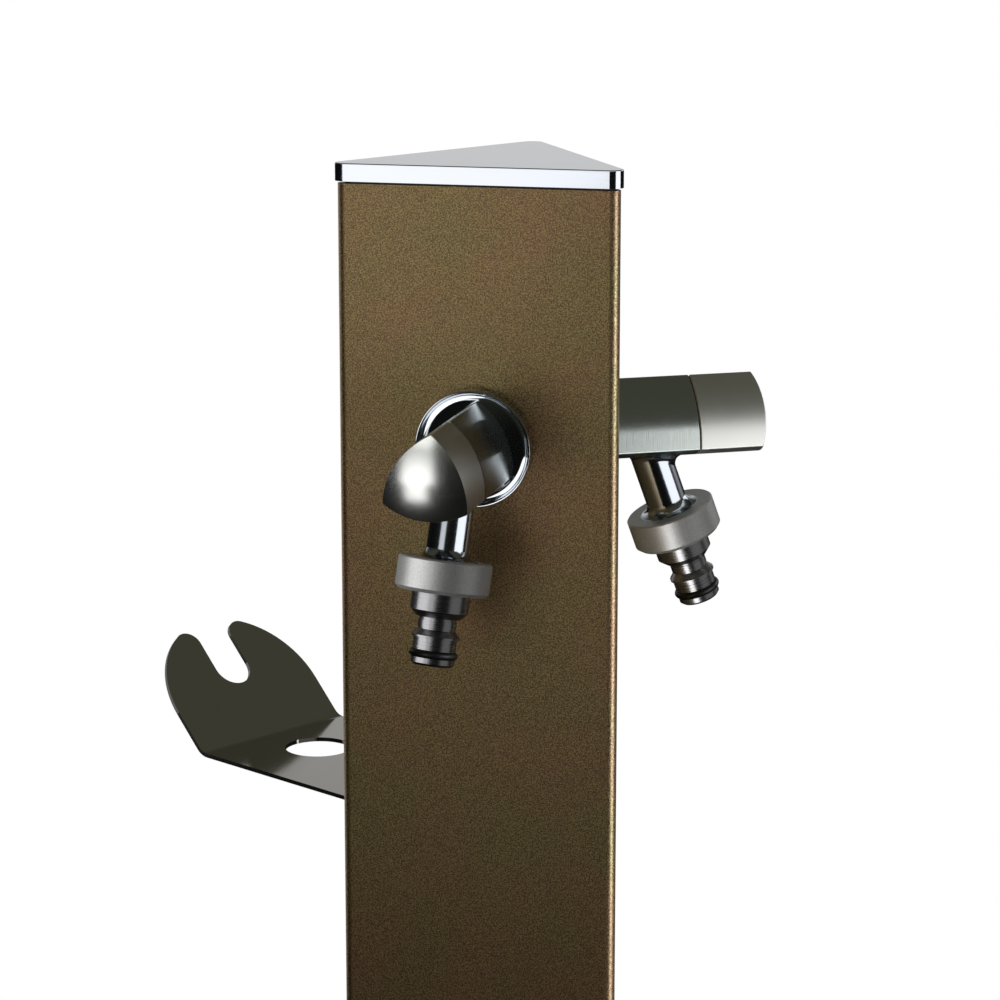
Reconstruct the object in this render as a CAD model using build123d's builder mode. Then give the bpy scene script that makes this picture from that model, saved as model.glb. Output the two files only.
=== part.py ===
from build123d import *
from math import cos, radians, sin, sqrt
import os

os.makedirs("parts", exist_ok=True)

# Garden standpipe: a three-sided column on a floor plate, with two quarter-turn taps
# for quick hose connectors and a bent sheet holder for the hose gun.
# The origin is on the floor under the column's middle, +Z is up, and the front tap looks along -Y.

# Column, millimetres and degrees throughout
column_side = 100.0
column_corner = 3.0
column_wall = 2.0
overall_height = 1000.0

# Cap and the moulded plug that holds it
cap_height = 6.0
cap_overhang = 0.9
cap_edge_round = 0.4
cap_pocket_depth = 3.0
cap_rim = 3.5
plug_flange = 0.8
plug_flange_inset = 1.2
plug_depth = 22.0
plug_wall = 2.5
plug_clearance = 0.15
plug_rib = 2.0

# Floor plate, the spigot welded to it and the screws through the column
foot_side = 210.0
foot_corner = 24.0
foot_thickness = 6.0
foot_edge_chamfer = 0.8
anchor_circle = 152.0
anchor_hole_radius = 5.5
spigot_height = 50.0
spigot_wall = 3.0
spigot_clearance = 0.1
foot_screw_height = 31.0

# Button head screw and flush rivet nut, five millimetre thread
screw_radius = 2.45
screw_head_radius = 4.75
screw_head_height = 2.7
screw_head_round = 1.6
screw_socket_radius = 1.7
screw_socket_depth = 1.6
screw_length = 9.0
screw_hole_radius = 2.6
rivet_radius = 3.5
rivet_hole_radius = 3.55
rivet_bulge_radius = 5.0
rivet_bulge_length = 2.4
rivet_length = 11.0
thread_hole_radius = 2.5

# Where things sit below the cap's top face
tap_drop = 93.1
holder_drop = 224.6

# Tap body and knob, a three-sided prism with bowed faces, placed along the tap's axis from the column's face
tap_bearings = {"front": -90.0, "side": 30.0}
tap_rolls = {"front": 5.0, "side": 0.0}
tap_circumradius = 16.0
tap_edge_round = 0.8
body_end = 40.0
joint_gap = 0.3
joint_chamfer = 0.3
knob_corner_length = 22.6
dome_radius = 40.0
dome_edge_round = 0.35
tail_radius = 10.48
tail_length = 16.5
tail_chamfer = 1.0
fit_clearance = 0.05
wall_hole_clearance = 0.3

# Rose against the column and the gasket under it
rose_radius = 19.6
rose_height = 5.6
rose_lip = 0.6
rose_bevel_radius = 16.1
rose_floor = 2.6
rose_edge_round = 0.5
gasket_radius = 17.0
gasket_thickness = 0.8
tail_gap = 0.12
backnut_flats = 27.0
backnut_thickness = 4.5

# Valve chamber and the ceramic cartridge in it
chamber_radius = 9.0
chamber_back = 14.0
inlet_bore_radius = 5.5
flange_seat = 36.0
flange_radius = 10.3
flange_thickness = 3.4
seal_thickness = 1.6
cartridge_skirt = 0.9
skirt_end = 28.0
gland_radius = 7.0
gland_end = 43.4
window_width = 8.0
window_length = 5.0
window_start = 22.8
disc_thickness = 2.4
disc_gap = 0.02
port_outer_radius = 6.2
port_inner_radius = 2.0
port_angle = 76.0
carrier_thickness = 2.0
spindle_radius = 4.0
spindle_end = 58.0
spindle_shoulder_radius = 5.4
spindle_shoulder_length = 1.5
groove_depth = 1.1
groove_width = 1.5
gland_ring_places = (32.0, 37.0)
spline_start = 46.5
spline_count = 20
spline_depth = 0.45
knob_cavity_radius = 9.2
knob_cavity_depth = 4.6
socket_clearance = 0.05
socket_end = 58.6
grub_place = 52.0
grub_radius = 2.0
grub_clearance = 0.05
grub_gap = 0.25
grub_length = 5.6
grub_socket_radius = 1.1
grub_socket_depth = 2.0

# Slanted outlet, placed along its own axis from where it crosses the tap's axis
outlet_place = 22.3
outlet_slants = {"front": 12.0, "side": 20.0}
outlet_bore_radius = 4.5
neck_radius = 7.0
neck_root_fillet = 3.0
neck_foot_start = 29.6
neck_foot_radius = 10.6
neck_foot_rim = 0.5
neck_foot_bow = 0.9
collar_start = 32.8
collar_radius = 15.5
collar_height = 11.0
collar_edge_chamfer = 0.5
collar_lower_chamfer = 1.2
collar_lip = 1.6
spigot_end = 38.4
washer_thickness = 1.8
washer_radius = 10.4
nipple_flange_radius = 10.5

# Quick connector nipple below the collar
relief_radius = 9.2
guide_start = 43.9
guide_radius = 9.6
guide_end = 49.8
guide_taper = 2.2
guide_taper_radius = 7.4
nipple_neck_radius = 6.1
nipple_ring_radius = 6.35
nipple_ring_start = 53.0
nipple_ring_end = 55.4
barb_start = 56.0
barb_radius = 7.9
barb_edge = 58.0
barb_rim = 0.6
barrel_radius = 7.2
barrel_groove_depth = 0.15
barrel_groove_width = 0.35
barrel_groove_places = (59.8, 60.9, 62.0)
ring_groove_start = 62.7
ring_groove_end = 65.3
ring_groove_radius = 5.6
ring_section_radius = 1.22
ring_middle_radius = 6.85
nipple_end = 67.8
nipple_end_chamfer = 0.8

# Water way inside the column
manifold_radius = 14.0
manifold_above = 17.0
manifold_below = 22.0
manifold_chamfer = 1.5
port_mouth = 21.6
port_boss_radius = 13.0
port_depth = 10.4
water_way_radius = 6.0
riser_radius = 7.5
riser_wall = 1.0
riser_insert = 11.0
joint_spigot_radius = 10.0
joint_spigot_length = 12.0
joint_bore_extra = 0.5
joint_nut_flats = 24.0
joint_nut_length = 15.0
joint_nut_overlap = 9.0
olive_length = 3.0
olive_radius = 9.3
inlet_mouth = 0.5
inlet_body_radius = 13.0
inlet_thread_radius = 9.32
inlet_thread_length = 13.0
inlet_flats = 30.0
inlet_hex_height = 9.0
inlet_top = 36.0

# Holder, one bent sheet: a flange on the column, a flat shelf with a hole and a fork turned up
holder_bearing = 150.0
sheet = 1.5
sheet_bend = 2.5
fork_bend = 6.0
shelf_length = 88.4
holder_width = 68.6
shelf_hole_radius = 12.2
shelf_hole_place = 62.8
fork_angle = 45.0
fork_root = 5.0
fork_centre = 18.0
fork_slot_width = 15.4
fork_slot_centre = 31.1
fork_lobe_round = 5.5
flange_drop = 32.0
flange_corner = 8.0
holder_screw_spacing = 40.0
holder_screw_drop = 18.0

# One overrun serves every cut
overrun = 2.0

face_distance = column_side / (2 * sqrt(3))
inner_distance = face_distance - column_wall
column_top = overall_height - cap_height - plug_flange
tap_height = overall_height - tap_drop
shelf_top = overall_height - holder_drop


def save(part, label):
    """Name a finished piece and write it to its file."""
    part.label = label
    export_step(part, f"parts/{label}.step")


def three_sided(plane, inradius, corner):
    """The column's outline, its flat sides this far from the middle, its back corner towards +Y."""
    with BuildSketch(plane) as outline:
        RegularPolygon(radius=2 * inradius, side_count=3, rotation=90)
        fillet(outline.vertices(), corner)
    return outline.sketch


def turned(section, *points):
    """Half of a turned piece's section: each point is a radius and a place along the axis."""
    with BuildSketch(section) as outline:
        with BuildLine():
            Polyline(*points, close=True)
        make_face()
    return outline.sketch


def disc(plane, radius):
    """A round outline on a plane."""
    with BuildSketch(plane) as outline:
        Circle(radius)
    return outline.sketch


def face_plane(bearing, height, roll=0.0):
    """The column's flat face at this bearing: local X to its viewer's right, local Y up, local Z outward."""
    outward = Vector(cos(radians(bearing)), sin(radians(bearing)), 0)
    level = Vector(0, 0, 1).cross(outward)
    return Plane(
        origin=outward * face_distance + Vector(0, 0, height),
        x_dir=level.rotate(Axis((0, 0, 0), outward), -roll),
        z_dir=outward,
    )


def along(plane):
    """A plane through another's Z axis, local Y along that axis, for turned sections."""
    return Plane(origin=plane.origin, x_dir=plane.y_dir, z_dir=plane.x_dir)


# Faces and places that more than one piece uses
tap_planes = {
    name: face_plane(bearing, tap_height, tap_rolls[name])
    for name, bearing in tap_bearings.items()
}
holder_plane = face_plane(holder_bearing, shelf_top)
foot_screw_planes = [face_plane(bearing, foot_screw_height) for bearing in (-90.0, 30.0, 150.0)]
holder_screw_places = GridLocations(holder_screw_spacing, 0, 2, 1).local_locations
holder_screw_plane = face_plane(holder_bearing, shelf_top - holder_screw_drop)

# Column, a folded and welded steel tube, powder coated
with BuildPart() as column:
    column_base = Plane.XY.offset(foot_thickness)
    extrude(three_sided(column_base, face_distance, column_corner), column_top - foot_thickness)
    extrude(
        three_sided(column_base, inner_distance, column_corner - column_wall),
        column_top - foot_thickness,
        mode=Mode.SUBTRACT,
    )
    for tap_plane in tap_planes.values():
        tail_passage = disc(tap_plane.offset(overrun), tail_radius + wall_hole_clearance)
        extrude(tail_passage, -(column_wall + 2 * overrun), mode=Mode.SUBTRACT)
    for screw_plane in foot_screw_planes:
        screw_hole = disc(screw_plane.offset(overrun), screw_hole_radius)
        extrude(screw_hole, -(column_wall + 2 * overrun), mode=Mode.SUBTRACT)
    with BuildSketch(holder_screw_plane.offset(overrun)):
        with Locations(*holder_screw_places):
            Circle(rivet_hole_radius)
    extrude(amount=-(column_wall + 2 * overrun), mode=Mode.SUBTRACT)
save(column.part, "column")

# Cap, a polished stainless plate with a shallow pocket under it
cap_base = Plane.XY.offset(overall_height - cap_height)
with BuildPart() as cap:
    extrude(three_sided(cap_base, face_distance + cap_overhang, column_corner + cap_overhang), cap_height)
    top_edges = cap.faces().sort_by(Axis.Z)[-1].edges()
    fillet(top_edges, cap_edge_round)
    pocket_distance = face_distance + cap_overhang - cap_rim
    extrude(three_sided(cap_base, pocket_distance, column_corner), cap_pocket_depth, mode=Mode.SUBTRACT)
save(cap.part, "cap")

# Cap plug, a moulded frame that grips inside the tube and carries the cap clear of it
plug_distance = inner_distance - plug_clearance
plug_corner = column_corner - column_wall
with BuildPart() as cap_plug:
    extrude(
        three_sided(Plane.XY.offset(column_top), face_distance - plug_flange_inset, column_corner), plug_flange
    )
    extrude(three_sided(cap_base, pocket_distance - plug_clearance, column_corner), cap_pocket_depth)
    extrude(three_sided(Plane.XY.offset(column_top), plug_distance, plug_corner), -plug_depth)
    extrude(
        three_sided(Plane.XY.offset(column_top - plug_depth), plug_distance - plug_wall, plug_corner),
        plug_depth,
        mode=Mode.SUBTRACT,
    )
    with BuildSketch(Plane.XY.offset(column_top)):
        with PolarLocations(plug_distance / 2, 3, start_angle=-90):
            Rectangle(plug_distance, plug_rib)
    extrude(amount=-plug_depth / 2)
save(cap_plug.part, "cap_plug")

# Floor plate, with a hole for the water inlet and three for anchors
foot_distance = foot_side / (2 * sqrt(3))
with BuildPart() as foot_plate:
    extrude(three_sided(Plane.XY, foot_distance, foot_corner), foot_thickness)
    chamfer(foot_plate.faces().sort_by(Axis.Z)[-1].edges(), foot_edge_chamfer)
    with BuildSketch(Plane.XY):
        Circle(inlet_body_radius + fit_clearance)
        with PolarLocations(anchor_circle / 2, 3, start_angle=-30):
            Circle(anchor_hole_radius)
    extrude(amount=foot_thickness, mode=Mode.SUBTRACT)
save(foot_plate.part, "foot_plate")

# Spigot, welded on the floor plate, which the column slides over
spigot_distance = inner_distance - spigot_clearance
with BuildPart() as foot_spigot:
    extrude(three_sided(Plane.XY.offset(foot_thickness), spigot_distance, plug_corner), spigot_height)
    extrude(
        three_sided(Plane.XY.offset(foot_thickness), spigot_distance - spigot_wall, plug_corner),
        spigot_height,
        mode=Mode.SUBTRACT,
    )
    for screw_plane in foot_screw_planes:
        extrude(disc(screw_plane, thread_hole_radius), -(column_wall + 2 * spigot_wall), mode=Mode.SUBTRACT)
save(foot_spigot.part, "foot_spigot")


def button_screw(plane, seat):
    """One button head screw whose head sits this far out from the plane, its shank pointing inward."""
    axis = Axis(plane.origin, plane.z_dir)
    with BuildPart() as screw:
        extrude(disc(plane.offset(seat), screw_head_radius), screw_head_height)
        rim = screw.edges().filter_by(GeomType.CIRCLE).sort_by(axis)[-1]
        fillet(rim, screw_head_round)
        extrude(disc(plane.offset(seat), screw_radius), -screw_length)
        with BuildSketch(plane.offset(seat + screw_head_height)):
            RegularPolygon(radius=screw_socket_radius, side_count=6)
        extrude(amount=-screw_socket_depth, mode=Mode.SUBTRACT)
    return screw.part


# Screws that hold the column to the spigot
with BuildPart() as foot_screws:
    for screw_plane in foot_screw_planes:
        add(button_screw(screw_plane, 0))
save(foot_screws.part, "foot_screws")

# Holder, one bent sheet: a flange screwed to the column, a shelf with a hole, and a slotted fork turned up
half_width = holder_width / 2
side_section = Plane(origin=holder_plane.origin, x_dir=holder_plane.z_dir, z_dir=-holder_plane.x_dir)
shelf_plane = Plane(origin=holder_plane.origin, x_dir=-holder_plane.x_dir, z_dir=holder_plane.y_dir)
fork_plane = Plane(
    origin=holder_plane.origin + holder_plane.z_dir * shelf_length,
    x_dir=-holder_plane.x_dir,
    z_dir=holder_plane.y_dir * cos(radians(fork_angle)) - holder_plane.z_dir * sin(radians(fork_angle)),
)
with BuildPart() as holder_bracket:
    with BuildSketch(side_section):
        with BuildLine():
            top_line = FilletPolyline(
                (0, -flange_drop),
                (0, 0),
                (shelf_length, 0),
                (
                    shelf_length + fork_root * cos(radians(fork_angle)),
                    fork_root * sin(radians(fork_angle)),
                ),
                radius=[sheet_bend + sheet, fork_bend],
            )
            offset(top_line, amount=sheet, side=Side.RIGHT)
        make_face()
    extrude(amount=half_width, both=True)
    with BuildSketch(fork_plane) as fork_outline:
        with Locations((0, fork_centre)):
            Circle(half_width)
        with Locations((0, (fork_root + fork_centre) / 2)):
            Rectangle(holder_width, fork_centre - fork_root)
        with Locations((0, fork_centre - half_width)):
            Rectangle(holder_width, 2 * (fork_root - fork_centre + half_width), mode=Mode.SUBTRACT)
        with Locations((0, fork_slot_centre)):
            Circle(fork_slot_width / 2, mode=Mode.SUBTRACT)
        with Locations((0, fork_slot_centre + half_width / 2)):
            Rectangle(fork_slot_width, half_width, mode=Mode.SUBTRACT)
        fillet(fork_outline.vertices().group_by(Axis.Y)[-1], fork_lobe_round)
    extrude(amount=-sheet)
    with BuildSketch(shelf_plane):
        with Locations((0, shelf_hole_place)):
            Circle(shelf_hole_radius)
    extrude(amount=overrun, both=True, mode=Mode.SUBTRACT)
    with BuildSketch(holder_screw_plane):
        with Locations(*holder_screw_places):
            Circle(screw_hole_radius)
    extrude(amount=overrun, mode=Mode.SUBTRACT)
    flange_ends = holder_bracket.edges().filter_by(Axis(holder_plane.origin, holder_plane.z_dir))
    fillet(flange_ends.group_by(Axis.Z)[0], flange_corner)
save(holder_bracket.part, "holder_bracket")

# Screws and flush rivet nuts that hold the holder on the column's face
screw_planes = [
    holder_screw_plane.shift_origin(holder_screw_plane.from_local_coords(place.position))
    for place in holder_screw_places
]
with BuildPart() as bracket_screws:
    for screw_plane in screw_planes:
        add(button_screw(screw_plane, sheet))
save(bracket_screws.part, "bracket_screws")
with BuildPart() as bracket_rivet_nuts:
    for screw_plane in screw_planes:
        extrude(disc(screw_plane, rivet_radius), -rivet_length)
        extrude(disc(screw_plane.offset(-column_wall), rivet_bulge_radius), -rivet_bulge_length)
        extrude(disc(screw_plane, thread_hole_radius), -rivet_length, mode=Mode.SUBTRACT)
save(bracket_rivet_nuts.part, "bracket_rivet_nuts")

# Manifold, a cast brass body that joins the riser to both taps' threaded tails
manifold_base = Plane.XY.offset(tap_height - manifold_below)
port_planes = [tap_plane.offset(port_mouth - face_distance) for tap_plane in tap_planes.values()]
with BuildPart() as manifold:
    extrude(disc(manifold_base, manifold_radius), manifold_below + manifold_above)
    chamfer(manifold.edges().filter_by(GeomType.CIRCLE), manifold_chamfer)
    for port_plane in port_planes:
        extrude(disc(port_plane, port_boss_radius), -port_mouth)
    extrude(disc(manifold_base, joint_spigot_radius), -joint_spigot_length)
    for port_plane in port_planes:
        extrude(disc(port_plane, tail_radius + fit_clearance), -port_depth, mode=Mode.SUBTRACT)
        extrude(disc(port_plane, water_way_radius), -port_mouth, mode=Mode.SUBTRACT)
    spigot_tip = manifold_base.offset(-joint_spigot_length)
    extrude(disc(spigot_tip, water_way_radius), joint_spigot_length + manifold_below, mode=Mode.SUBTRACT)
    extrude(disc(spigot_tip, riser_radius + fit_clearance), riser_insert + joint_bore_extra, mode=Mode.SUBTRACT)
save(manifold.part, "manifold")

# Inlet socket, a brass half inch female fitting with its mouth at the floor plate's underside
inlet_base = Plane.XY.offset(inlet_mouth)
inlet_tip = Plane.XY.offset(inlet_top)
with BuildPart() as inlet_socket:
    extrude(disc(inlet_base, inlet_body_radius), foot_thickness - inlet_mouth)
    with BuildSketch(Plane.XY.offset(foot_thickness)):
        RegularPolygon(radius=inlet_flats / 2, side_count=6, major_radius=False)
    extrude(amount=inlet_hex_height)
    extrude(disc(inlet_tip, joint_spigot_radius), foot_thickness - inlet_top)
    extrude(disc(inlet_base, inlet_thread_radius), inlet_thread_length, mode=Mode.SUBTRACT)
    extrude(disc(inlet_tip, water_way_radius), -inlet_top, mode=Mode.SUBTRACT)
    extrude(
        disc(inlet_tip, riser_radius + fit_clearance), -(riser_insert + joint_bore_extra), mode=Mode.SUBTRACT
    )
save(inlet_socket.part, "inlet_socket")

# Riser, a plain tube from the inlet socket up to the manifold
riser_foot = Plane.XY.offset(inlet_top - riser_insert)
riser_length = tap_height - manifold_below - joint_spigot_length - inlet_top + 2 * riser_insert
with BuildPart() as riser_pipe:
    extrude(disc(riser_foot, riser_radius), riser_length)
    extrude(disc(riser_foot, riser_radius - riser_wall), riser_length, mode=Mode.SUBTRACT)
save(riser_pipe.part, "riser_pipe")

# Compression joints at the riser's two ends, each plane looking away from its spigot
joint_planes = [
    Plane(origin=spigot_tip.origin, x_dir=(1, 0, 0), z_dir=(0, 0, -1)),
    Plane(origin=inlet_tip.origin, x_dir=(1, 0, 0), z_dir=(0, 0, 1)),
]
with BuildPart() as riser_nuts:
    for joint_plane in joint_planes:
        nut_back = joint_plane.offset(-joint_nut_overlap)
        with BuildSketch(nut_back):
            RegularPolygon(radius=joint_nut_flats / 2, side_count=6, major_radius=False)
        extrude(amount=joint_nut_length)
        thread = disc(nut_back, joint_spigot_radius + fit_clearance)
        extrude(thread, joint_nut_overlap + olive_length, mode=Mode.SUBTRACT)
        extrude(disc(joint_plane, riser_radius + fit_clearance), joint_nut_length, mode=Mode.SUBTRACT)
save(riser_nuts.part, "riser_nuts")
with BuildPart() as riser_olives:
    for joint_plane in joint_planes:
        extrude(disc(joint_plane, olive_radius), olive_length)
        extrude(disc(joint_plane, riser_radius + fit_clearance), olive_length, mode=Mode.SUBTRACT)
save(riser_olives.part, "riser_olives")


def bowed_triangle(plane):
    """The taps' section: three arcs, each drawn about the corner opposite, the ridge on top."""
    ridge_angles = (90, 210, 330)
    bow_radius = tap_circumradius * (sqrt(3) - 1)
    with BuildSketch(plane) as outline:
        with BuildLine():
            for angle in ridge_angles:
                start, middle, end = radians(angle), radians(angle + 60), radians(angle + 120)
                ThreePointArc(
                    (tap_circumradius * cos(start), tap_circumradius * sin(start)),
                    (bow_radius * cos(middle), bow_radius * sin(middle)),
                    (tap_circumradius * cos(end), tap_circumradius * sin(end)),
                )
        make_face()
        fillet(outline.vertices(), tap_edge_round)
    return outline.sketch


def water_ports(plane, turn):
    """Two opposite sector openings of the ceramic discs, turned by this angle."""
    with BuildSketch(plane) as ports:
        for middle in (turn, turn + 180):
            with BuildLine():
                outer = CenterArc((0, 0), port_outer_radius, middle - port_angle / 2, port_angle)
                inner = CenterArc((0, 0), port_inner_radius, middle - port_angle / 2, port_angle)
                Line(inner @ 0, outer @ 0)
                Line(inner @ 1, outer @ 1)
            make_face()
    return ports.sketch


def make_tap(name, tap):
    """One tap with its rose, cartridge, knob, outlet neck and hose nipple, on the plane of its face."""
    section = along(tap)
    axis = Axis(tap.origin, tap.z_dir)
    slant = radians(outlet_slants[name])
    outlet = Plane(
        origin=tap.origin + tap.z_dir * outlet_place,
        x_dir=tap.x_dir,
        z_dir=tap.z_dir * sin(slant) - tap.y_dir * cos(slant),
    )
    outlet_section = along(outlet)
    outlet_axis = Axis(outlet.origin, outlet.z_dir)
    body_length = body_end - rose_floor

    # Rose, a turned and chromed dish whose raised rim slopes inward round the body
    tail_hole = tail_radius + tail_gap
    with BuildPart() as rose:
        with BuildSketch(section):
            with BuildLine():
                Polyline(
                    (rose_bevel_radius, rose_floor),
                    (tail_hole, rose_floor),
                    (tail_hole, gasket_thickness),
                    (gasket_radius + tail_gap, gasket_thickness),
                    (gasket_radius + tail_gap, 0),
                    (rose_radius, 0),
                    (rose_radius, rose_height),
                    (rose_radius - rose_lip, rose_height),
                )
                EllipticalCenterArc(
                    center=(rose_bevel_radius, rose_height),
                    x_radius=rose_radius - rose_lip - rose_bevel_radius,
                    y_radius=rose_height - rose_floor,
                    start_angle=270,
                    arc_size=90,
                )
            make_face()
        revolve(axis=axis)
        rim = rose.edges().group_by(axis)[-1]
        fillet(rim.sort_by(SortBy.RADIUS)[-1], rose_edge_round)
    save(rose.part, f"{name}_rose")

    # Rubber gasket in the rose's back, and the backnut that clamps the wall from inside
    with BuildPart() as gasket:
        extrude(disc(tap, gasket_radius), gasket_thickness)
        extrude(disc(tap, tail_hole), gasket_thickness, mode=Mode.SUBTRACT)
    save(gasket.part, f"{name}_gasket")
    with BuildPart() as backnut:
        with BuildSketch(tap.offset(-column_wall)):
            RegularPolygon(radius=backnut_flats / 2, side_count=6, major_radius=False)
            Circle(tail_radius + fit_clearance, mode=Mode.SUBTRACT)
        extrude(amount=-backnut_thickness)
    save(backnut.part, f"{name}_backnut")

    # Body, a satin prism with a threaded tail, bored for the cartridge and the outlet
    with BuildPart() as body:
        extrude(bowed_triangle(tap.offset(rose_floor)), body_length)
        chamfer(body.faces().sort_by(axis)[-1].edges(), joint_chamfer)
        extrude(disc(tap.offset(rose_floor), tail_radius), -(rose_floor + tail_length))
        chamfer(body.faces().sort_by(axis)[0].edges(), tail_chamfer)
        extrude(disc(tap.offset(chamber_back), chamber_radius), body_end, mode=Mode.SUBTRACT)
        extrude(disc(tap.offset(flange_seat), flange_radius + fit_clearance), body_end, mode=Mode.SUBTRACT)
        extrude(disc(tap.offset(-tail_length), inlet_bore_radius), body_end, mode=Mode.SUBTRACT)
        extrude(disc(outlet.offset(chamber_radius / 2), outlet_bore_radius), tap_circumradius, mode=Mode.SUBTRACT)
    save(body.part, f"{name}_tap_body")

    # Outlet neck, polished: a slanted tube filleted into the body's underside, with a flared foot
    with BuildPart() as neck:
        extrude(bowed_triangle(tap.offset(rose_floor)), body_length)
        extrude(disc(outlet, neck_radius), neck_foot_start)
        root_place = outlet.origin + outlet.z_dir * tap_circumradius * (sqrt(3) - 1)
        root_edges = neck.edges().filter_by(GeomType.BSPLINE)
        fillet(root_edges.sort_by_distance(root_place)[0], neck_root_fillet)
        extrude(bowed_triangle(tap.offset(rose_floor)), body_length, mode=Mode.SUBTRACT)
        with BuildSketch(outlet_section):
            with BuildLine():
                foot_edge = neck_foot_radius - neck_foot_rim
                ThreePointArc(
                    (neck_radius, neck_foot_start),
                    (
                        (neck_radius + foot_edge) / 2 - neck_foot_bow / 2,
                        (neck_foot_start + collar_start) / 2 + neck_foot_bow / 2,
                    ),
                    (foot_edge, collar_start),
                )
                Polyline(
                    (foot_edge, collar_start),
                    (neck_foot_radius, collar_start),
                    (neck_foot_radius, spigot_end),
                    (0, spigot_end),
                    (0, neck_foot_start),
                    (neck_radius, neck_foot_start),
                )
            make_face()
        revolve(axis=outlet_axis)
        extrude(disc(outlet, outlet_bore_radius), spigot_end, mode=Mode.SUBTRACT)
    save(neck.part, f"{name}_outlet_neck")

    # Collar, a satin union nut that draws the hose nipple against the neck's foot
    collar_end = collar_start + collar_height
    collar_bore = neck_foot_radius + fit_clearance
    lip_start = collar_end - collar_lip
    with BuildPart() as collar:
        outline = turned(
            outlet_section,
            (collar_bore, collar_start),
            (collar_radius - collar_edge_chamfer, collar_start),
            (collar_radius, collar_start + collar_edge_chamfer),
            (collar_radius, collar_end - collar_lower_chamfer),
            (collar_radius - collar_lower_chamfer, collar_end),
            (guide_radius + fit_clearance, collar_end),
            (guide_radius + fit_clearance, lip_start),
            (collar_bore, lip_start),
        )
        revolve(outline, axis=outlet_axis)
    save(collar.part, f"{name}_collar")

    # Flat rubber washer between the neck's foot and the nipple
    with BuildPart() as washer:
        extrude(disc(outlet.offset(spigot_end), washer_radius), washer_thickness)
        extrude(disc(outlet.offset(spigot_end), outlet_bore_radius), washer_thickness, mode=Mode.SUBTRACT)
    save(washer.part, f"{name}_neck_washer")

    # Hose nipple, turned: flange, guide, waist with a bead, snap edge, barrel, ring groove and lip
    groove_points = []
    for place in barrel_groove_places:
        groove_points += [
            (barrel_radius, place),
            (barrel_radius - barrel_groove_depth, place),
            (barrel_radius - barrel_groove_depth, place + barrel_groove_width),
            (barrel_radius, place + barrel_groove_width),
        ]
    with BuildPart() as nipple:
        outline = turned(
            outlet_section,
            (outlet_bore_radius, spigot_end + washer_thickness),
            (nipple_flange_radius, spigot_end + washer_thickness),
            (nipple_flange_radius, lip_start),
            (relief_radius, lip_start),
            (relief_radius, guide_start),
            (guide_radius, guide_start),
            (guide_radius, guide_end),
            (guide_taper_radius, guide_end + guide_taper),
            (nipple_neck_radius, guide_end + guide_taper),
            (nipple_neck_radius, nipple_ring_start),
            (nipple_ring_radius, nipple_ring_start),
            (nipple_ring_radius, nipple_ring_end),
            (nipple_neck_radius, nipple_ring_end),
            (nipple_neck_radius, barb_start),
            (barb_radius, barb_edge),
            (barb_radius, barb_edge + barb_rim),
            (barrel_radius, barb_edge + barb_rim),
            *groove_points,
            (barrel_radius, ring_groove_start),
            (ring_groove_radius, ring_groove_start),
            (ring_groove_radius, ring_groove_end),
            (barrel_radius, ring_groove_end),
            (barrel_radius, nipple_end - nipple_end_chamfer),
            (barrel_radius - nipple_end_chamfer, nipple_end),
            (outlet_bore_radius, nipple_end),
        )
        revolve(outline, axis=outlet_axis)
    save(nipple.part, f"{name}_hose_nipple")

    # The nipple's sealing ring
    with BuildPart() as nipple_ring:
        with BuildSketch(outlet_section):
            with Locations((ring_middle_radius, (ring_groove_start + ring_groove_end) / 2)):
                Circle(ring_section_radius)
        revolve(axis=outlet_axis)
    save(nipple_ring.part, f"{name}_nipple_ring")

    # Cartridge housing: a skirt round the discs with two windows, a flange and a gland for the spindle
    skirt_start = chamber_back + seal_thickness
    skirt_radius = chamber_radius - fit_clearance
    skirt_bore = skirt_radius - cartridge_skirt
    with BuildPart() as housing:
        outline = turned(
            section,
            (skirt_bore, skirt_start),
            (skirt_radius, skirt_start),
            (skirt_radius, flange_seat),
            (flange_radius, flange_seat),
            (flange_radius, flange_seat + flange_thickness),
            (gland_radius, flange_seat + flange_thickness),
            (gland_radius, gland_end),
            (spindle_radius + fit_clearance, gland_end),
            (spindle_radius + fit_clearance, skirt_end),
            (skirt_bore, skirt_end),
        )
        revolve(outline, axis=axis)
        window_place = tap.origin + tap.z_dir * (window_start + window_length / 2)
        with BuildSketch(Plane(origin=window_place, x_dir=tap.z_dir, z_dir=tap.y_dir)):
            Rectangle(window_length, window_width)
        extrude(amount=chamber_radius + overrun, both=True, mode=Mode.SUBTRACT)
    save(housing.part, f"{name}_cartridge_housing")

    # Rubber seat seal, the fixed ceramic disc on it and the moving disc, shut at rest
    with BuildPart() as seat_seal:
        extrude(disc(tap.offset(chamber_back), skirt_radius), seal_thickness)
        extrude(disc(tap.offset(chamber_back), port_outer_radius), seal_thickness, mode=Mode.SUBTRACT)
    save(seat_seal.part, f"{name}_seat_seal")
    moving_start = skirt_start + disc_thickness + disc_gap
    moving_radius = skirt_bore - 2 * fit_clearance
    with BuildPart() as fixed_disc:
        extrude(disc(tap.offset(skirt_start), skirt_bore - fit_clearance), disc_thickness)
        extrude(water_ports(tap.offset(skirt_start), 0), disc_thickness, mode=Mode.SUBTRACT)
    save(fixed_disc.part, f"{name}_fixed_disc")
    with BuildPart() as moving_disc:
        extrude(disc(tap.offset(moving_start), moving_radius), disc_thickness)
        extrude(water_ports(tap.offset(moving_start), 90), disc_thickness, mode=Mode.SUBTRACT)
    save(moving_disc.part, f"{name}_moving_disc")

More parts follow.
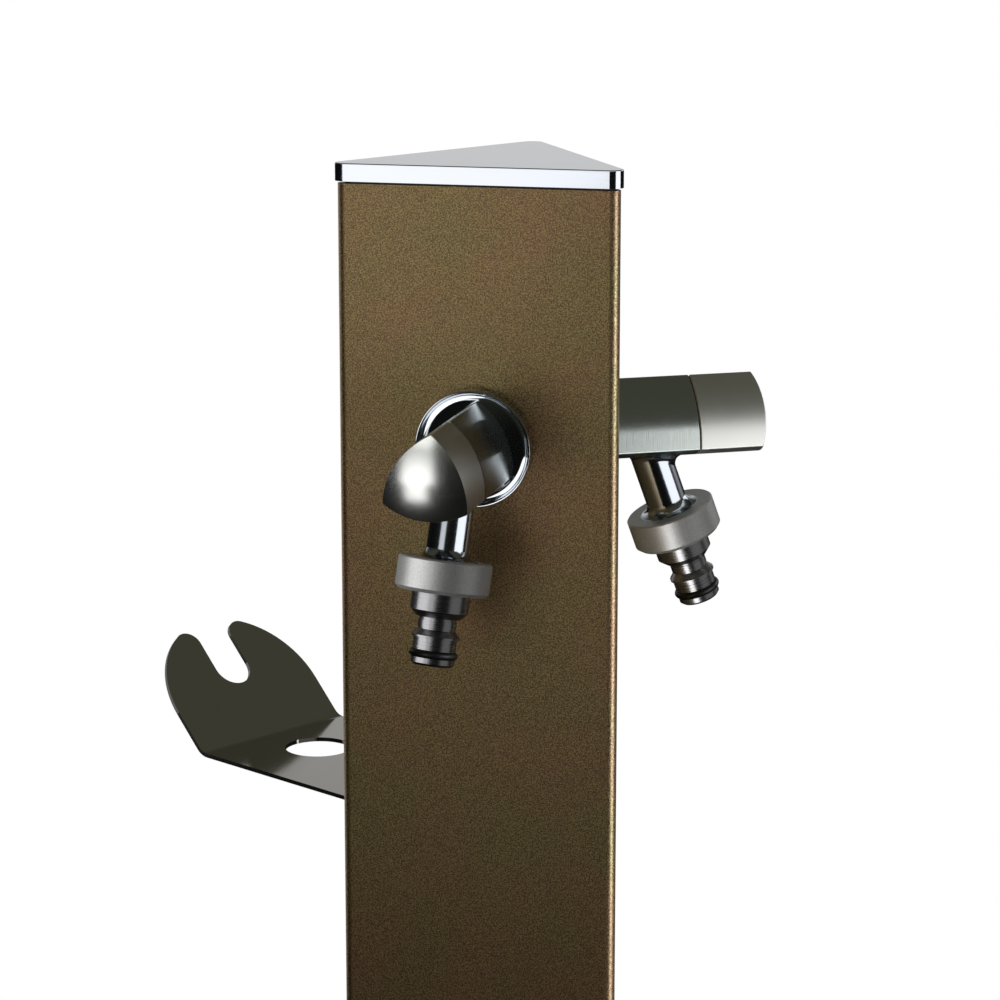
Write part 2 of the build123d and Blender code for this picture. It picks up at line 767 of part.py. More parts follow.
    # Spindle: a ported carrier on the moving disc, a shoulder under the gland and a splined end
    carrier_start = moving_start + disc_thickness
    shaft_start = carrier_start + carrier_thickness
    shoulder_start = skirt_end - fit_clearance - spindle_shoulder_length
    with BuildPart() as spindle:
        extrude(disc(tap.offset(carrier_start), moving_radius), carrier_thickness)
        extrude(water_ports(tap.offset(carrier_start), 90), carrier_thickness, mode=Mode.SUBTRACT)
        extrude(disc(tap.offset(shaft_start), spindle_radius), spindle_end - shaft_start)
        extrude(disc(tap.offset(shoulder_start), spindle_shoulder_radius), spindle_shoulder_length)
        for place in gland_ring_places:
            groove = turned(
                section,
                (spindle_radius - groove_depth, place - groove_width / 2),
                (spindle_radius + fit_clearance, place - groove_width / 2),
                (spindle_radius + fit_clearance, place + groove_width / 2),
                (spindle_radius - groove_depth, place + groove_width / 2),
            )
            revolve(groove, axis=axis, mode=Mode.SUBTRACT)
        with BuildSketch(tap.offset(spline_start)):
            with PolarLocations(spindle_radius, spline_count):
                RegularPolygon(radius=spline_depth, side_count=4)
        extrude(amount=spindle_end - spline_start, mode=Mode.SUBTRACT)
    save(spindle.part, f"{name}_spindle")
    ring_radius = (groove_depth + fit_clearance / 2) / 2
    with BuildPart() as gland_rings:
        with BuildSketch(section):
            with Locations(*[(spindle_radius - groove_depth + ring_radius, place) for place in gland_ring_places]):
                Circle(ring_radius)
        revolve(axis=axis)
    save(gland_rings.part, f"{name}_gland_rings")

    # Knob, the same three-sided section, its end a shallow dome, hollowed to clear the gland
    knob_start = body_end + joint_gap
    dome_middle = knob_start + knob_corner_length - sqrt(dome_radius**2 - tap_circumradius**2)
    grub = Plane(origin=tap.origin + tap.z_dir * grub_place, x_dir=tap.z_dir, z_dir=-tap.y_dir)
    with BuildPart() as knob:
        extrude(bowed_triangle(tap.offset(knob_start)), dome_radius)
        with Locations(Plane(tap.origin + tap.z_dir * dome_middle, x_dir=-tap.z_dir, z_dir=tap.x_dir)):
            Sphere(dome_radius, mode=Mode.INTERSECT)
        fillet(knob.faces().sort_by(axis)[-1].edges(), dome_edge_round)
        chamfer(knob.faces().sort_by(axis)[0].edges(), joint_chamfer)
        extrude(disc(tap.offset(knob_start), knob_cavity_radius), knob_cavity_depth, mode=Mode.SUBTRACT)
        socket = disc(tap.offset(knob_start), spindle_radius + socket_clearance)
        extrude(socket, socket_end - knob_start, mode=Mode.SUBTRACT)
        extrude(disc(grub, grub_radius), tap_circumradius, mode=Mode.SUBTRACT)
    save(knob.part, f"{name}_knob")

    # Grub screw that locks the knob on the spline, in the knob's underside
    with BuildPart() as grub_screw:
        extrude(disc(grub.offset(spindle_radius + grub_gap), grub_radius - grub_clearance), grub_length)
        with BuildSketch(grub.offset(spindle_radius + grub_gap + grub_length)):
            RegularPolygon(radius=grub_socket_radius, side_count=6)
        extrude(amount=-grub_socket_depth, mode=Mode.SUBTRACT)
    save(grub_screw.part, f"{name}_grub_screw")


for tap_name, tap_plane in tap_planes.items():
    make_tap(tap_name, tap_plane)
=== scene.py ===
import bpy
import bmesh
import math
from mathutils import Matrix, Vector


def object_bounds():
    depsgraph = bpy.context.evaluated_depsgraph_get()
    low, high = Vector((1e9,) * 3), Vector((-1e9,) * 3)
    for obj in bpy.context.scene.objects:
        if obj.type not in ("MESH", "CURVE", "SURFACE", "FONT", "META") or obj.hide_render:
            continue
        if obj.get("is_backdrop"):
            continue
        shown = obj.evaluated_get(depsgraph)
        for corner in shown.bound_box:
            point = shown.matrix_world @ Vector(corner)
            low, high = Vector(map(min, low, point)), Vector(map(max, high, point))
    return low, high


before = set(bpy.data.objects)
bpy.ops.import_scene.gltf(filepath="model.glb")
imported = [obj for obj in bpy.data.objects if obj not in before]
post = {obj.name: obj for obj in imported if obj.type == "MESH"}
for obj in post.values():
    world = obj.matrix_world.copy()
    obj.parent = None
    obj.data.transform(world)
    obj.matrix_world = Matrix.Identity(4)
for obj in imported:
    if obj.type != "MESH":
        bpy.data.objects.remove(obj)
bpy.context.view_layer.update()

# The photograph's view: a long lens from a little above the cap, looking down past the right-hand edge.
# A 114 mm lens on a 36 mm wide square picture, with no shift.
camera = bpy.data.objects.new("photograph_view", bpy.data.cameras.new("photograph_view"))
bpy.context.scene.collection.objects.link(camera)
camera.data.lens = 114.0
camera.data.sensor_width = 36.0
camera.data.clip_start = 0.05
camera.location = (0.2552, -1.0296, 1.1131)
yaw, pitch = -0.242, -0.214
gaze = Vector((math.sin(yaw) * math.cos(pitch), math.cos(yaw) * math.cos(pitch), math.sin(pitch)))
camera.rotation_mode = "QUATERNION"
camera.rotation_quaternion = gaze.to_track_quat("-Z", "Y")
bpy.context.scene.camera = camera
bpy.context.scene.view_settings.view_transform = "Standard"


def srgb(colour):
    """A hex colour as linear red, green, blue and alpha."""
    parts = [int(colour[place:place + 2], 16) / 255 for place in (1, 3, 5)]
    return (*[p / 12.92 if p <= 0.04045 else ((p + 0.055) / 1.055) ** 2.4 for p in parts], 1.0)


def add(tree, kind, inputs=None, **settings):
    """A new node with its settings, its input values and its links."""
    new = tree.nodes.new("ShaderNode" + kind)
    for name, value in settings.items():
        setattr(new, name, value)
    for name, value in (inputs or {}).items():
        if isinstance(value, bpy.types.NodeSocket):
            tree.links.new(value, new.inputs[name])
        else:
            new.inputs[name].default_value = value
    return new


# The studio's floor: pale matt card under the post, round and flat.
# For the camera it runs out into the white sweep behind, and near the post it keeps the shadow; in what the metal
# mirrors it is painted dark grey, a painted dark reflection.
floor_mesh = bpy.data.meshes.new("floor_card")
disc = bmesh.new()
bmesh.ops.create_circle(disc, cap_ends=True, segments=128, radius=2.6)
disc.to_mesh(floor_mesh)
disc.free()
floor = bpy.data.objects.new("floor_card", floor_mesh)
bpy.context.scene.collection.objects.link(floor)
card = bpy.data.materials.new("pale_floor_card")
card.use_nodes = True
tree = card.node_tree
tree.nodes.clear()
place = add(tree, "TexCoord")
away = add(tree, "VectorMath", {0: place.outputs["Object"]}, operation="LENGTH")
far = add(tree, "MapRange", {"Value": away.outputs["Value"], "From Min": 0.45, "From Max": 1.25},
          interpolation_type="SMOOTHSTEP")
ray = add(tree, "LightPath")
pale = add(tree, "MapRange", {"Value": far.outputs[0], "To Min": 0.6, "To Max": 1.0})
fade = add(tree, "Math", {0: pale.outputs[0], 1: ray.outputs["Is Camera Ray"]}, operation="MULTIPLY")
# Reflected rays see the card painted dark grey, painted shade in the metal's reflections of the floor.
card_tone_painted_dark_in_reflections = add(tree, "Mix", {"Factor": ray.outputs["Is Glossy Ray"], "A": srgb("#EDECE9"), "B": srgb("#2A2A28")},
                data_type="RGBA")
matt = add(tree, "BsdfPrincipled", {"Base Color": card_tone_painted_dark_in_reflections.outputs["Result"], "Roughness": 0.7})
sweep = add(tree, "Emission", {"Color": (1, 1, 1, 1), "Strength": 1.0})
both = add(tree, "MixShader", {0: fade.outputs[0], 1: matt.outputs[0], 2: sweep.outputs[0]})
add(tree, "OutputMaterial", {"Surface": both.outputs[0]})
floor_mesh.materials.append(card)
floor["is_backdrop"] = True

# The studio round it: a white sweep behind the post, and a dim room above and behind the camera.
# The camera sees plain white, polished metal sees the sweep and the dim room, matt surfaces an even fill.
world = bpy.data.worlds.new("white_sweep")
bpy.context.scene.world = world
world.use_nodes = True
tree = world.node_tree
tree.nodes.clear()
way = add(tree, "TexCoord")
parts = add(tree, "SeparateXYZ", {0: way.outputs["Generated"]})
behind = add(tree, "MapRange", {"Value": parts.outputs["Y"], "From Min": 0.2, "From Max": 0.7},
             interpolation_type="SMOOTHSTEP")
rise = add(tree, "MapRange", {"Value": parts.outputs["Z"], "From Min": 0.0, "From Max": 0.06})
drop = add(tree, "MapRange", {"Value": parts.outputs["Z"], "From Min": -0.04, "From Max": 0.51,
                              "To Min": 1.0, "To Max": 0.0})
band = add(tree, "Math", {0: rise.outputs[0], 1: drop.outputs[0]}, operation="MULTIPLY")
seen = add(tree, "Math", {0: behind.outputs[0], 1: band.outputs[0]}, operation="MULTIPLY")
above = add(tree, "MapRange", {"Value": parts.outputs["Z"], "From Min": 0.1, "From Max": 0.7})
room = add(tree, "Mix", {"Factor": above.outputs[0], "A": srgb("#121211"), "B": srgb("#4E4E43")}, data_type="RGBA")
shade = add(tree, "Mix", {"Factor": seen.outputs[0], "A": room.outputs["Result"], "B": (1, 1, 1, 1)},
            data_type="RGBA")
reflected = add(tree, "Background", {"Color": shade.outputs["Result"], "Strength": 1.0})
fill = add(tree, "Background", {"Color": srgb("#F4F5F7"), "Strength": 0.06})
plain = add(tree, "Background", {"Color": (1, 1, 1, 1), "Strength": 1.0})
ray = add(tree, "LightPath")
direct = add(tree, "Math", {0: ray.outputs["Is Camera Ray"], 1: ray.outputs["Is Transmission Ray"]},
             operation="MAXIMUM")
indirect = add(tree, "MixShader", {0: ray.outputs["Is Glossy Ray"], 1: fill.outputs[0], 2: reflected.outputs[0]})
whole = add(tree, "MixShader", {0: direct.outputs[0], 1: indirect.outputs[0], 2: plain.outputs[0]})
add(tree, "OutputWorld", {"Surface": whole.outputs[0]})

# Soft boxes, because the photograph puts together pieces that were lit apart. Each line is the box's name, its place,
# what it is aimed at, its width and height, its radiance, the opening of its grid in degrees, and a flag.
# INCLUDE boxes light only the pieces that their line ends with, EXCLUDE boxes light all but these. Lengths in metres.
fittings = [f"{tap}_{piece}" for tap in ("front", "side") for piece in ("collar", "hose_nipple")]
for name, at, aim, width, tall, radiance, opening, flag, pieces in (
    # The key, close by on the left, with a smaller box under it and one above for the front knob's dome.
    ("key_box_left", (-0.190, -0.556, 0.98), (0.0, 0.0, 1.16), 0.28, 0.32, 2.35, 90.0,
     "EXCLUDE", ["front_rose"]),
    ("key_strip_low", (-0.210, -0.556, 0.75), (0.0, 0.0, 0.96), 0.20, 0.17, 1.7, 80.0,
     "EXCLUDE", ["front_rose", "column", *fittings]),
    ("key_box_top", (-0.160, -0.470, 1.22), (0.0, -0.09, 0.91), 0.24, 0.26, 1.35, 180.0,
     "INCLUDE", ["front_knob"]),
    # A pale card low on the left for the column's face, and a far box for the bright line down its right edge.
    ("card_low", (-0.120, -0.600, 0.69), (0.0, 0.0, 0.98), 0.45, 0.24, 0.62, 100.0,
     "INCLUDE", ["column"]),
    ("edge_box_right", (1.154, -0.331, 0.60), (0.0, 0.0, 0.86), 0.60, 0.80, 8.5, 180.0,
     "INCLUDE", ["column"]),
    # Fill from the right for the side tap, weak on the collars and nipples, which are lit from the left and below.
    ("fill_box_right", (1.16, -0.30, 0.86), (0.0, 0.0, 0.90), 1.10, 1.00, 2.0, 180.0,
     "EXCLUDE", ["column", "front_knob", "front_tap_body", "front_rose", *fittings]),
    ("weak_box_right", (1.16, -0.30, 0.86), (0.0, 0.0, 0.90), 1.10, 1.00, 0.3, 180.0,
     "INCLUDE", fittings),
    ("side_box_left", (-0.67, -0.47, 0.96), (0.0, -0.05, 0.86), 0.70, 0.80, 1.9, 180.0,
     "INCLUDE", fittings),
    ("side_box_low", (0.03, -0.58, 0.45), (0.08, 0.03, 0.81), 0.40, 0.34, 4.6, 180.0,
     "INCLUDE", ["side_collar", "side_hose_nipple"]),
    # The bright lower face of the side tap.
    ("low_box_side", (0.37, -0.33, 0.53), (0.07, 0.03, 0.90), 0.55, 0.34, 1.8, 180.0,
     "INCLUDE", ["side_tap_body", "side_knob"]),
    # The white rim of the front rose.
    ("rose_box_low", (0.10, -0.30, 0.58), (0.06, -0.16, 0.89), 0.50, 0.46, 1.5, 180.0,
     "INCLUDE", ["front_rose"]),
    ("rose_box_left", (-0.60, -0.38, 1.10), (0.0, -0.03, 0.88), 0.70, 0.60, 1.5, 180.0,
     "INCLUDE", ["front_rose"]),
    # Boxes behind the post for its back faces, the floor plate and, much weaker, the polished holder.
    ("rim_box_back", (1.10, 1.20, 1.50), (0.0, 0.0, 0.70), 0.90, 0.70, 1.5, 180.0,
     "EXCLUDE", ["front_knob", "front_tap_body"]),
    ("wide_box_back", (-1.45, 0.70, 0.80), (0.0, 0.0, 0.60), 2.20, 1.50, 0.9, 180.0,
     "INCLUDE", ["column", "foot_plate", "bracket_screws", "foot_screws"]),
    ("weak_box_back", (-1.45, 0.70, 0.80), (0.0, 0.0, 0.60), 2.20, 1.50, 0.2, 180.0,
     "INCLUDE", ["holder_bracket"]),
    # Boxes overhead for the cap's top and the front tap's upper side.
    ("top_box_front", (0.0, -1.50, 1.75), (0.0, 0.0, 1.00), 2.60, 1.00, 0.8, 180.0,
     "INCLUDE", ["cap"]),
    ("top_box_tap", (0.0, -0.10, 2.00), (0.0, -0.10, 0.87), 0.90, 0.90, 0.7, 180.0,
     "INCLUDE", ["front_knob", "front_tap_body"]),
):
    lamp = bpy.data.lights.new(name, "AREA")
    lamp.shape = "RECTANGLE"
    lamp.size, lamp.size_y = width, tall
    lamp.spread = math.radians(opening)
    # A narrower grid makes Blender's light stronger along its middle, so the energy is taken down by as much.
    half = min(lamp.spread / 2, math.radians(89.9))
    lamp.energy = radiance * math.pi * width * tall * (1 - half / math.tan(half))
    # The box at the far right is a little cooler than the others, so the line down the edge is pale.
    lamp.color = (1.0, 1.10, 1.32) if name == "edge_box_right" else (1.0, 1.0, 1.0)
    box = bpy.data.objects.new(name, lamp)
    box.location = at
    box.rotation_mode = "QUATERNION"
    box.rotation_quaternion = (Vector(aim) - Vector(at)).to_track_quat("-Z", "Y")
    box.visible_camera = False
    bpy.context.scene.collection.objects.link(box)
    lit = bpy.data.collections.new(f"lit_by_{name}")
    for piece in pieces:
        lit.objects.link(post[piece])
    for entry in lit.collection_objects:
        entry.light_linking.link_state = flag
    box.light_linking.receiver_collection = lit
    # The tap itself would shade the rose's rim from its two boxes, so it casts no shadow from these.
    if name.startswith("rose_box"):
        shading = bpy.data.collections.new(f"shading_{name}")
        for piece in post:
            if piece.startswith("front_") and piece != "front_rose":
                shading.objects.link(post[piece])
        for entry in shading.collection_objects:
            entry.light_linking.link_state = "EXCLUDE"
        box.light_linking.blocker_collection = shading


# Column and floor plate: folded and welded steel, powder coated in a bronze metallic.
# The coat is a little glossy, with mica flakes that sparkle and a faint orange peel from the oven.
def coat(name, *nodes):
    """A new material, put on these nodes of the model, and its tree and shader."""
    material = bpy.data.materials.new(name)
    material.use_nodes = True
    shader = material.node_tree.nodes["Principled BSDF"]
    for node in nodes:
        for slot in post[node].material_slots:
            slot.material = material
    return material.node_tree, shader


tree, shader = coat("bronze_powder_coat", "column", "foot_plate")
place = add(tree, "TexCoord")
# Flakes are about 0.05 mm across in a real coat. Here they are drawn 0.45 mm, the least that shows.
# The clouding goes from olive to a redder brown over patches of 35 mm and less.
flakes = add(tree, "TexNoise", {"Vector": place.outputs["Object"], "Scale": 1 / 0.00045, "Detail": 1.0})
peel = add(tree, "TexNoise", {"Vector": place.outputs["Object"], "Scale": 1 / 0.004, "Detail": 2.0})
cloud = add(tree, "TexNoise", {"Vector": place.outputs["Object"], "Scale": 1 / 0.035, "Detail": 5.0})
mottle = add(tree, "MapRange", {"Value": cloud.outputs["Fac"], "From Min": 0.38, "From Max": 0.62})
brown = add(tree, "Mix", {"Factor": mottle.outputs[0], "A": srgb("#4D4423"), "B": srgb("#633D2C")},
            data_type="RGBA")
spark = add(tree, "MapRange", {"Value": flakes.outputs["Fac"], "From Min": 0.38, "From Max": 0.66})
tone = add(tree, "Mix", {"Factor": spark.outputs[0], "A": brown.outputs["Result"], "B": srgb("#9F8756")},
           data_type="RGBA")
tree.links.new(tone.outputs["Result"], shader.inputs["Base Color"])
rough = add(tree, "MapRange", {"Value": flakes.outputs["Fac"], "To Min": 0.32, "To Max": 0.44})
tree.links.new(rough.outputs[0], shader.inputs["Roughness"])
shader.inputs["Metallic"].default_value = 0.65
shader.inputs["IOR"].default_value = 1.6
relief = add(tree, "Math", {0: flakes.outputs["Fac"], 1: 0.25, 2: peel.outputs["Fac"]}, operation="MULTIPLY_ADD")
bump = add(tree, "Bump", {"Height": relief.outputs[0], "Strength": 0.5, "Distance": 0.00012})
tree.links.new(bump.outputs[0], shader.inputs["Normal"])

# Cap: stainless plate, ground flat and polished bright, its edges rounded over.
# What the polish leaves is a faint grain across the width, under a mirror-like gloss.
tree, shader = coat("polished_stainless_plate", "cap")
place = add(tree, "TexCoord")
grain = add(tree, "Mapping", {"Vector": place.outputs["Object"], "Scale": (30.0, 1 / 0.0006, 1 / 0.0006)})
lines = add(tree, "TexNoise", {"Vector": grain.outputs[0], "Scale": 1.0, "Detail": 2.0})
shader.inputs["Base Color"].default_value = srgb("#BBBEC5")
shader.inputs["Metallic"].default_value = 1.0
rough = add(tree, "MapRange", {"Value": lines.outputs["Fac"], "To Min": 0.08, "To Max": 0.16})
tree.links.new(rough.outputs[0], shader.inputs["Roughness"])
bump = add(tree, "Bump", {"Height": lines.outputs["Fac"], "Strength": 0.08, "Distance": 0.00003})
tree.links.new(bump.outputs[0], shader.inputs["Normal"])

# Cap plug and cartridge housings: moulded black polyamide with a fine spark-eroded grain.
# It is a little shiny on top of the grain, and nearly black.
tree, shader = coat("moulded_black_polyamide", "cap_plug", "front_cartridge_housing", "side_cartridge_housing")
place = add(tree, "TexCoord")
grit = add(tree, "TexNoise", {"Vector": place.outputs["Object"], "Scale": 1 / 0.0005, "Detail": 2.0})
shader.inputs["Base Color"].default_value = srgb("#1D1E20")
shader.inputs["Roughness"].default_value = 0.48
shader.inputs["IOR"].default_value = 1.53
bump = add(tree, "Bump", {"Height": grit.outputs["Fac"], "Strength": 0.3, "Distance": 0.00005})
tree.links.new(bump.outputs[0], shader.inputs["Normal"])

# Spigot in the foot and the holder's rivet nuts: mild steel with bright zinc plating.
# The plating is greyish blue with soft cloudy patches.
tree, shader = coat("bright_zinc_plate", "foot_spigot", "bracket_rivet_nuts")
place = add(tree, "TexCoord")
patch = add(tree, "TexNoise", {"Vector": place.outputs["Object"], "Scale": 1 / 0.006, "Detail": 4.0})
tone = add(tree, "Mix", {"Factor": patch.outputs["Fac"], "A": srgb("#A9AEB2"), "B": srgb("#C6CACB")},
           data_type="RGBA")
tree.links.new(tone.outputs["Result"], shader.inputs["Base Color"])
shader.inputs["Metallic"].default_value = 1.0
rough = add(tree, "MapRange", {"Value": patch.outputs["Fac"], "To Min": 0.22, "To Max": 0.42})
tree.links.new(rough.outputs[0], shader.inputs["Roughness"])

# Screws: plain stainless, cold headed, with a light tumbled finish.
# Tumbling leaves soft fine dents that take the edge off the shine.
tree, shader = coat("tumbled_stainless", "foot_screws", "bracket_screws", "front_grub_screw", "side_grub_screw")
place = add(tree, "TexCoord")
dents = add(tree, "TexNoise", {"Vector": place.outputs["Object"], "Scale": 1 / 0.0008, "Detail": 2.0})
shader.inputs["Base Color"].default_value = srgb("#BDBEC0")
shader.inputs["Metallic"].default_value = 1.0
shader.inputs["Roughness"].default_value = 0.26
bump = add(tree, "Bump", {"Height": dents.outputs["Fac"], "Strength": 0.2, "Distance": 0.00005})
tree.links.new(bump.outputs[0], shader.inputs["Normal"])

# Water way inside the column: a cast brass manifold, with the sand's grain in its skin.
# It is duller and redder than the turned fittings.
tree, shader = coat("cast_brass", "manifold")
place = add(tree, "TexCoord")
sand = add(tree, "TexNoise", {"Vector": place.outputs["Object"], "Scale": 1 / 0.0012, "Detail": 4.0})
tone = add(tree, "Mix", {"Factor": sand.outputs["Fac"], "A": srgb("#A98245"), "B": srgb("#C9A361")},
           data_type="RGBA")
tree.links.new(tone.outputs["Result"], shader.inputs["Base Color"])
shader.inputs["Metallic"].default_value = 1.0
shader.inputs["Roughness"].default_value = 0.45
bump = add(tree, "Bump", {"Height": sand.outputs["Fac"], "Strength": 0.5, "Distance": 0.0001})
tree.links.new(bump.outputs[0], shader.inputs["Normal"])

# Turned brass: inlet socket, compression nuts and olives, the taps' backnuts and spindles.
# The lathe leaves fine rings across each piece, which all stand upright or lie along a tap.
tree, shader = coat("turned_brass", "inlet_socket", "riser_nuts", "riser_olives", "front_backnut", "side_backnut",
                    "front_spindle", "side_spindle")
place = add(tree, "TexCoord")
rings = add(tree, "TexNoise", {"Vector": place.outputs["Object"], "Scale": 1 / 0.0006, "Detail": 2.0})
shader.inputs["Base Color"].default_value = srgb("#D8B36A")
shader.inputs["Metallic"].default_value = 1.0
rough = add(tree, "MapRange", {"Value": rings.outputs["Fac"], "To Min": 0.18, "To Max": 0.32})
tree.links.new(rough.outputs[0], shader.inputs["Roughness"])

# Riser: drawn copper tube, pushed into the compression joints at both ends.
# It has the long faint streaks of the drawing die and some browning.
tree, shader = coat("drawn_copper", "riser_pipe")
place = add(tree, "TexCoord")
drawn = add(tree, "Mapping", {"Vector": place.outputs["Object"], "Scale": (1 / 0.0015, 1 / 0.0015, 12.0)})
streaks = add(tree, "TexNoise", {"Vector": drawn.outputs[0], "Scale": 1.0, "Detail": 3.0})
tone = add(tree, "Mix", {"Factor": streaks.outputs["Fac"], "A": srgb("#A8623F"), "B": srgb("#D58E68")},
           data_type="RGBA")
tree.links.new(tone.outputs["Result"], shader.inputs["Base Color"])
shader.inputs["Metallic"].default_value = 1.0
shader.inputs["Roughness"].default_value = 0.3

# Holder: one stainless sheet, laser cut, folded twice and polished bright.
# It mirrors what is round it, with a faint grain along the fold from the polishing belt.
tree, shader = coat("polished_stainless_sheet", "holder_bracket")
place = add(tree, "TexCoord")
belt = add(tree, "Mapping", {"Vector": place.outputs["Object"], "Rotation": (0, 0, math.radians(30)),
                             "Scale": (1 / 0.0007, 20.0, 1 / 0.0007)})
lines = add(tree, "TexNoise", {"Vector": belt.outputs[0], "Scale": 1.0, "Detail": 2.0})
shader.inputs["Base Color"].default_value = srgb("#C2C0BA")
shader.inputs["Metallic"].default_value = 1.0
rough = add(tree, "MapRange", {"Value": lines.outputs["Fac"], "To Min": 0.07, "To Max": 0.14})
tree.links.new(rough.outputs[0], shader.inputs["Roughness"])
bump = add(tree, "Bump", {"Height": lines.outputs["Fac"], "Strength": 0.06, "Distance": 0.00003})
tree.links.new(bump.outputs[0], shader.inputs["Normal"])

# Roses: turned brass, polished by hand and chrome plated.
# Chrome is a cold mirror, with the slow waves that a polishing mop leaves.
tree, shader = coat("bright_chrome_plate", "front_rose", "side_rose")
place = add(tree, "TexCoord")
waves = add(tree, "TexNoise", {"Vector": place.outputs["Object"], "Scale": 1 / 0.006, "Detail": 1.0})
shader.inputs["Base Color"].default_value = srgb("#D6DAE0")
shader.inputs["Metallic"].default_value = 1.0
shader.inputs["Roughness"].default_value = 0.045
bump = add(tree, "Bump", {"Height": waves.outputs["Fac"], "Strength": 0.15, "Distance": 0.0001})
tree.links.new(bump.outputs[0], shader.inputs["Normal"])

# Outlet necks: brass castings, linished round by a fine belt and chrome plated.
# They mirror as the roses do, a little blurred by the belt's rings.
tree, shader = coat("linished_chrome_plate", "front_outlet_neck", "side_outlet_neck")
place = add(tree, "TexCoord")
belt = add(tree, "Mapping", {"Vector": place.outputs["Object"], "Scale": (60.0, 60.0, 1 / 0.0005)})
lines = add(tree, "TexNoise", {"Vector": belt.outputs[0], "Scale": 1.0, "Detail": 2.0})
shader.inputs["Base Color"].default_value = srgb("#B2B8BF")
shader.inputs["Metallic"].default_value = 1.0
rough = add(tree, "MapRange", {"Value": lines.outputs["Fac"], "To Min": 0.1, "To Max": 0.2})
tree.links.new(rough.outputs[0], shader.inputs["Roughness"])

# Tap bodies and knobs: brass, ground round the section with a fine belt and plated satin chrome.
# The belt's lines run round the prism, at right angles to the tap's axis. The dome is blasted, with no lines.
for tap, bearing in (("front", -90.0), ("side", 30.0)):
    axis = (math.cos(math.radians(bearing)), math.sin(math.radians(bearing)), 0.0)
    for piece, tint, low, high in (("tap_body", "#BAC1BE", 0.18, 0.28), ("knob", "#E2E3DF", 0.34, 0.44)):
        tree, shader = coat(f"satin_chrome_{tap}_{piece}", f"{tap}_{piece}")
        place = add(tree, "TexCoord")
        reach = add(tree, "VectorMath", {0: place.outputs["Object"], 1: axis}, operation="DOT_PRODUCT")
        # Belt lines are about 0.05 mm apart. Here they are 0.35 mm, the least that shows.
        fine = add(tree, "Math", {0: reach.outputs["Value"], 1: 1 / 0.00035}, operation="MULTIPLY")
        slow = add(tree, "VectorMath", {0: place.outputs["Object"], "Scale": 60.0}, operation="SCALE")
        split = add(tree, "SeparateXYZ", {0: slow.outputs[0]})
        spot = add(tree, "CombineXYZ", {"X": fine.outputs[0], "Y": split.outputs["Z"], "Z": split.outputs["X"]})
        lines = add(tree, "TexNoise", {"Vector": spot.outputs[0], "Scale": 1.0, "Detail": 2.0})
        blast = add(tree, "TexNoise", {"Vector": place.outputs["Object"], "Scale": 1 / 0.0005, "Detail": 2.0})
        facing = add(tree, "VectorMath", {0: place.outputs["Normal"], 1: axis}, operation="DOT_PRODUCT")
        dome = add(tree, "MapRange", {"Value": facing.outputs["Value"], "From Min": 0.3, "From Max": 0.7})
        surface = add(tree, "Mix", {"Factor": dome.outputs[0], "A": lines.outputs["Fac"],
                                    "B": blast.outputs["Fac"]})
        shader.inputs["Base Color"].default_value = srgb(tint)
        shader.inputs["Metallic"].default_value = 1.0
        belt_shine = add(tree, "MapRange", {"Value": lines.outputs["Fac"], "To Min": low, "To Max": high})
        rough = add(tree, "Mix", {"Factor": dome.outputs[0], "A": belt_shine.outputs[0], "B": 0.22})
        tree.links.new(rough.outputs[0], shader.inputs["Roughness"])
        bump = add(tree, "Bump", {"Height": surface.outputs["Result"], "Strength": 0.25, "Distance": 0.00004})
        tree.links.new(bump.outputs[0], shader.inputs["Normal"])

# Collars: turned union nuts, screwed on the necks, fine blasted and plated in a paler satin chrome.
# The blasting leaves an even grain of dull and bright specks, drawn 0.5 mm where a real one is nearer 0.1 mm.
tree, shader = coat("blasted_satin_chrome", "front_collar", "side_collar")
place = add(tree, "TexCoord")
blast = add(tree, "TexNoise", {"Vector": place.outputs["Object"], "Scale": 1 / 0.0005, "Detail": 3.0,
                               "Roughness": 0.7})
tone = add(tree, "Mix", {"Factor": blast.outputs["Fac"], "A": srgb("#A2A3A1"), "B": srgb("#F0F0EE")},
           data_type="RGBA")
tree.links.new(tone.outputs["Result"], shader.inputs["Base Color"])
shader.inputs["Metallic"].default_value = 0.6
rough = add(tree, "MapRange", {"Value": blast.outputs["Fac"], "To Min": 0.36, "To Max": 0.5})
tree.links.new(rough.outputs[0], shader.inputs["Roughness"])
bump = add(tree, "Bump", {"Height": blast.outputs["Fac"], "Strength": 0.4, "Distance": 0.00006})
tree.links.new(bump.outputs[0], shader.inputs["Normal"])

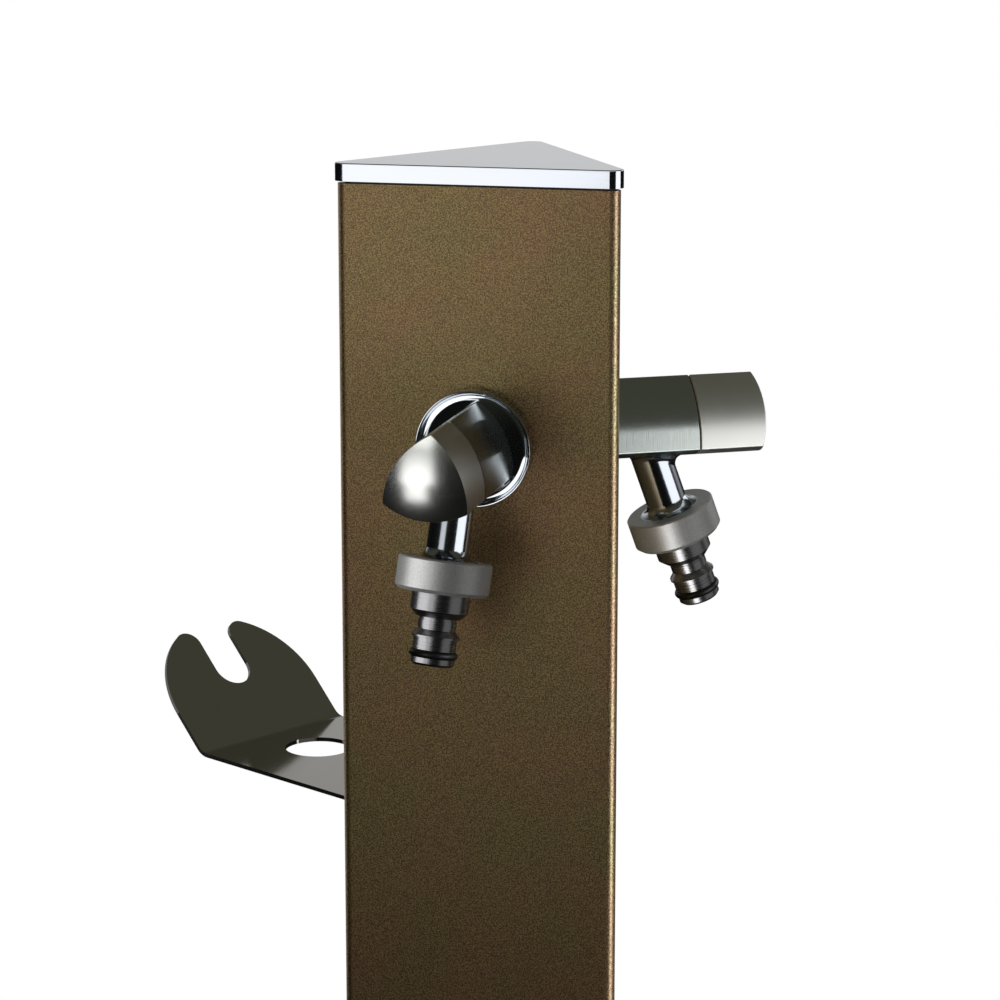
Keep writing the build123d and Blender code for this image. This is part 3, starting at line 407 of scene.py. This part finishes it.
# Hose nipples: stainless bar turned on a lathe, clamped by the collars, bright but a little dark.
# The tool's fine rings run round each one, so the pattern follows the slant and the roll of its neck.
for tap, bearing, roll, tilt in (("front", -90.0, 5.0, 12.0), ("side", 30.0, 0.0, 20.0)):
    turn, lean, slant = math.radians(bearing), math.radians(roll), math.radians(tilt)
    out = Vector((math.cos(turn), math.sin(turn), 0.0))
    level = Vector((-math.sin(turn), math.cos(turn), 0.0))
    up = level * math.sin(lean) + Vector((0.0, 0.0, math.cos(lean)))
    down = out * math.sin(slant) - up * math.cos(slant)
    tree, shader = coat(f"turned_stainless_{tap}", f"{tap}_hose_nipple")
    place = add(tree, "TexCoord")
    reach = add(tree, "VectorMath", {0: place.outputs["Object"], 1: down}, operation="DOT_PRODUCT")
    spot = add(tree, "Math", {0: reach.outputs["Value"], 1: 1 / 0.0004}, operation="MULTIPLY")
    rings = add(tree, "TexNoise", {"W": spot.outputs[0], "Scale": 1.0, "Detail": 2.0}, noise_dimensions="1D")
    shader.inputs["Base Color"].default_value = srgb("#969597")
    shader.inputs["Metallic"].default_value = 1.0
    rough = add(tree, "MapRange", {"Value": rings.outputs["Fac"], "To Min": 0.2, "To Max": 0.36})
    tree.links.new(rough.outputs[0], shader.inputs["Roughness"])
    bump = add(tree, "Bump", {"Height": rings.outputs["Fac"], "Strength": 0.3, "Distance": 0.00004})
    tree.links.new(bump.outputs[0], shader.inputs["Normal"])

# Sealing rings, gaskets and washers: moulded black nitrile rubber, pressed into grooves and between flanges.
# The rubber has a greasy half shine that comes and goes with its bloom.
tree, shader = coat("black_nitrile_rubber", *[
    f"{tap}_{piece}" for tap in ("front", "side")
    for piece in ("nipple_ring", "gasket", "neck_washer", "seat_seal", "gland_rings")
])
place = add(tree, "TexCoord")
bloom = add(tree, "TexNoise", {"Vector": place.outputs["Object"], "Scale": 1 / 0.002, "Detail": 3.0})
shader.inputs["Base Color"].default_value = srgb("#141415")
shader.inputs["IOR"].default_value = 1.52
rough = add(tree, "MapRange", {"Value": bloom.outputs["Fac"], "To Min": 0.32, "To Max": 0.5})
tree.links.new(rough.outputs[0], shader.inputs["Roughness"])

# Ceramic discs: sintered alumina, lapped flat, held face to face in the cartridge housings.
# They are milky white with a soft even gloss.
tree, shader = coat("lapped_alumina", "front_fixed_disc", "front_moving_disc", "side_fixed_disc",
                    "side_moving_disc")
place = add(tree, "TexCoord")
grit = add(tree, "TexNoise", {"Vector": place.outputs["Object"], "Scale": 1 / 0.0004, "Detail": 2.0})
shader.inputs["Base Color"].default_value = srgb("#F1EEE8")
shader.inputs["IOR"].default_value = 1.76
rough = add(tree, "MapRange", {"Value": grit.outputs["Fac"], "To Min": 0.15, "To Max": 0.28})
tree.links.new(rough.outputs[0], shader.inputs["Roughness"])

low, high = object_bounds()
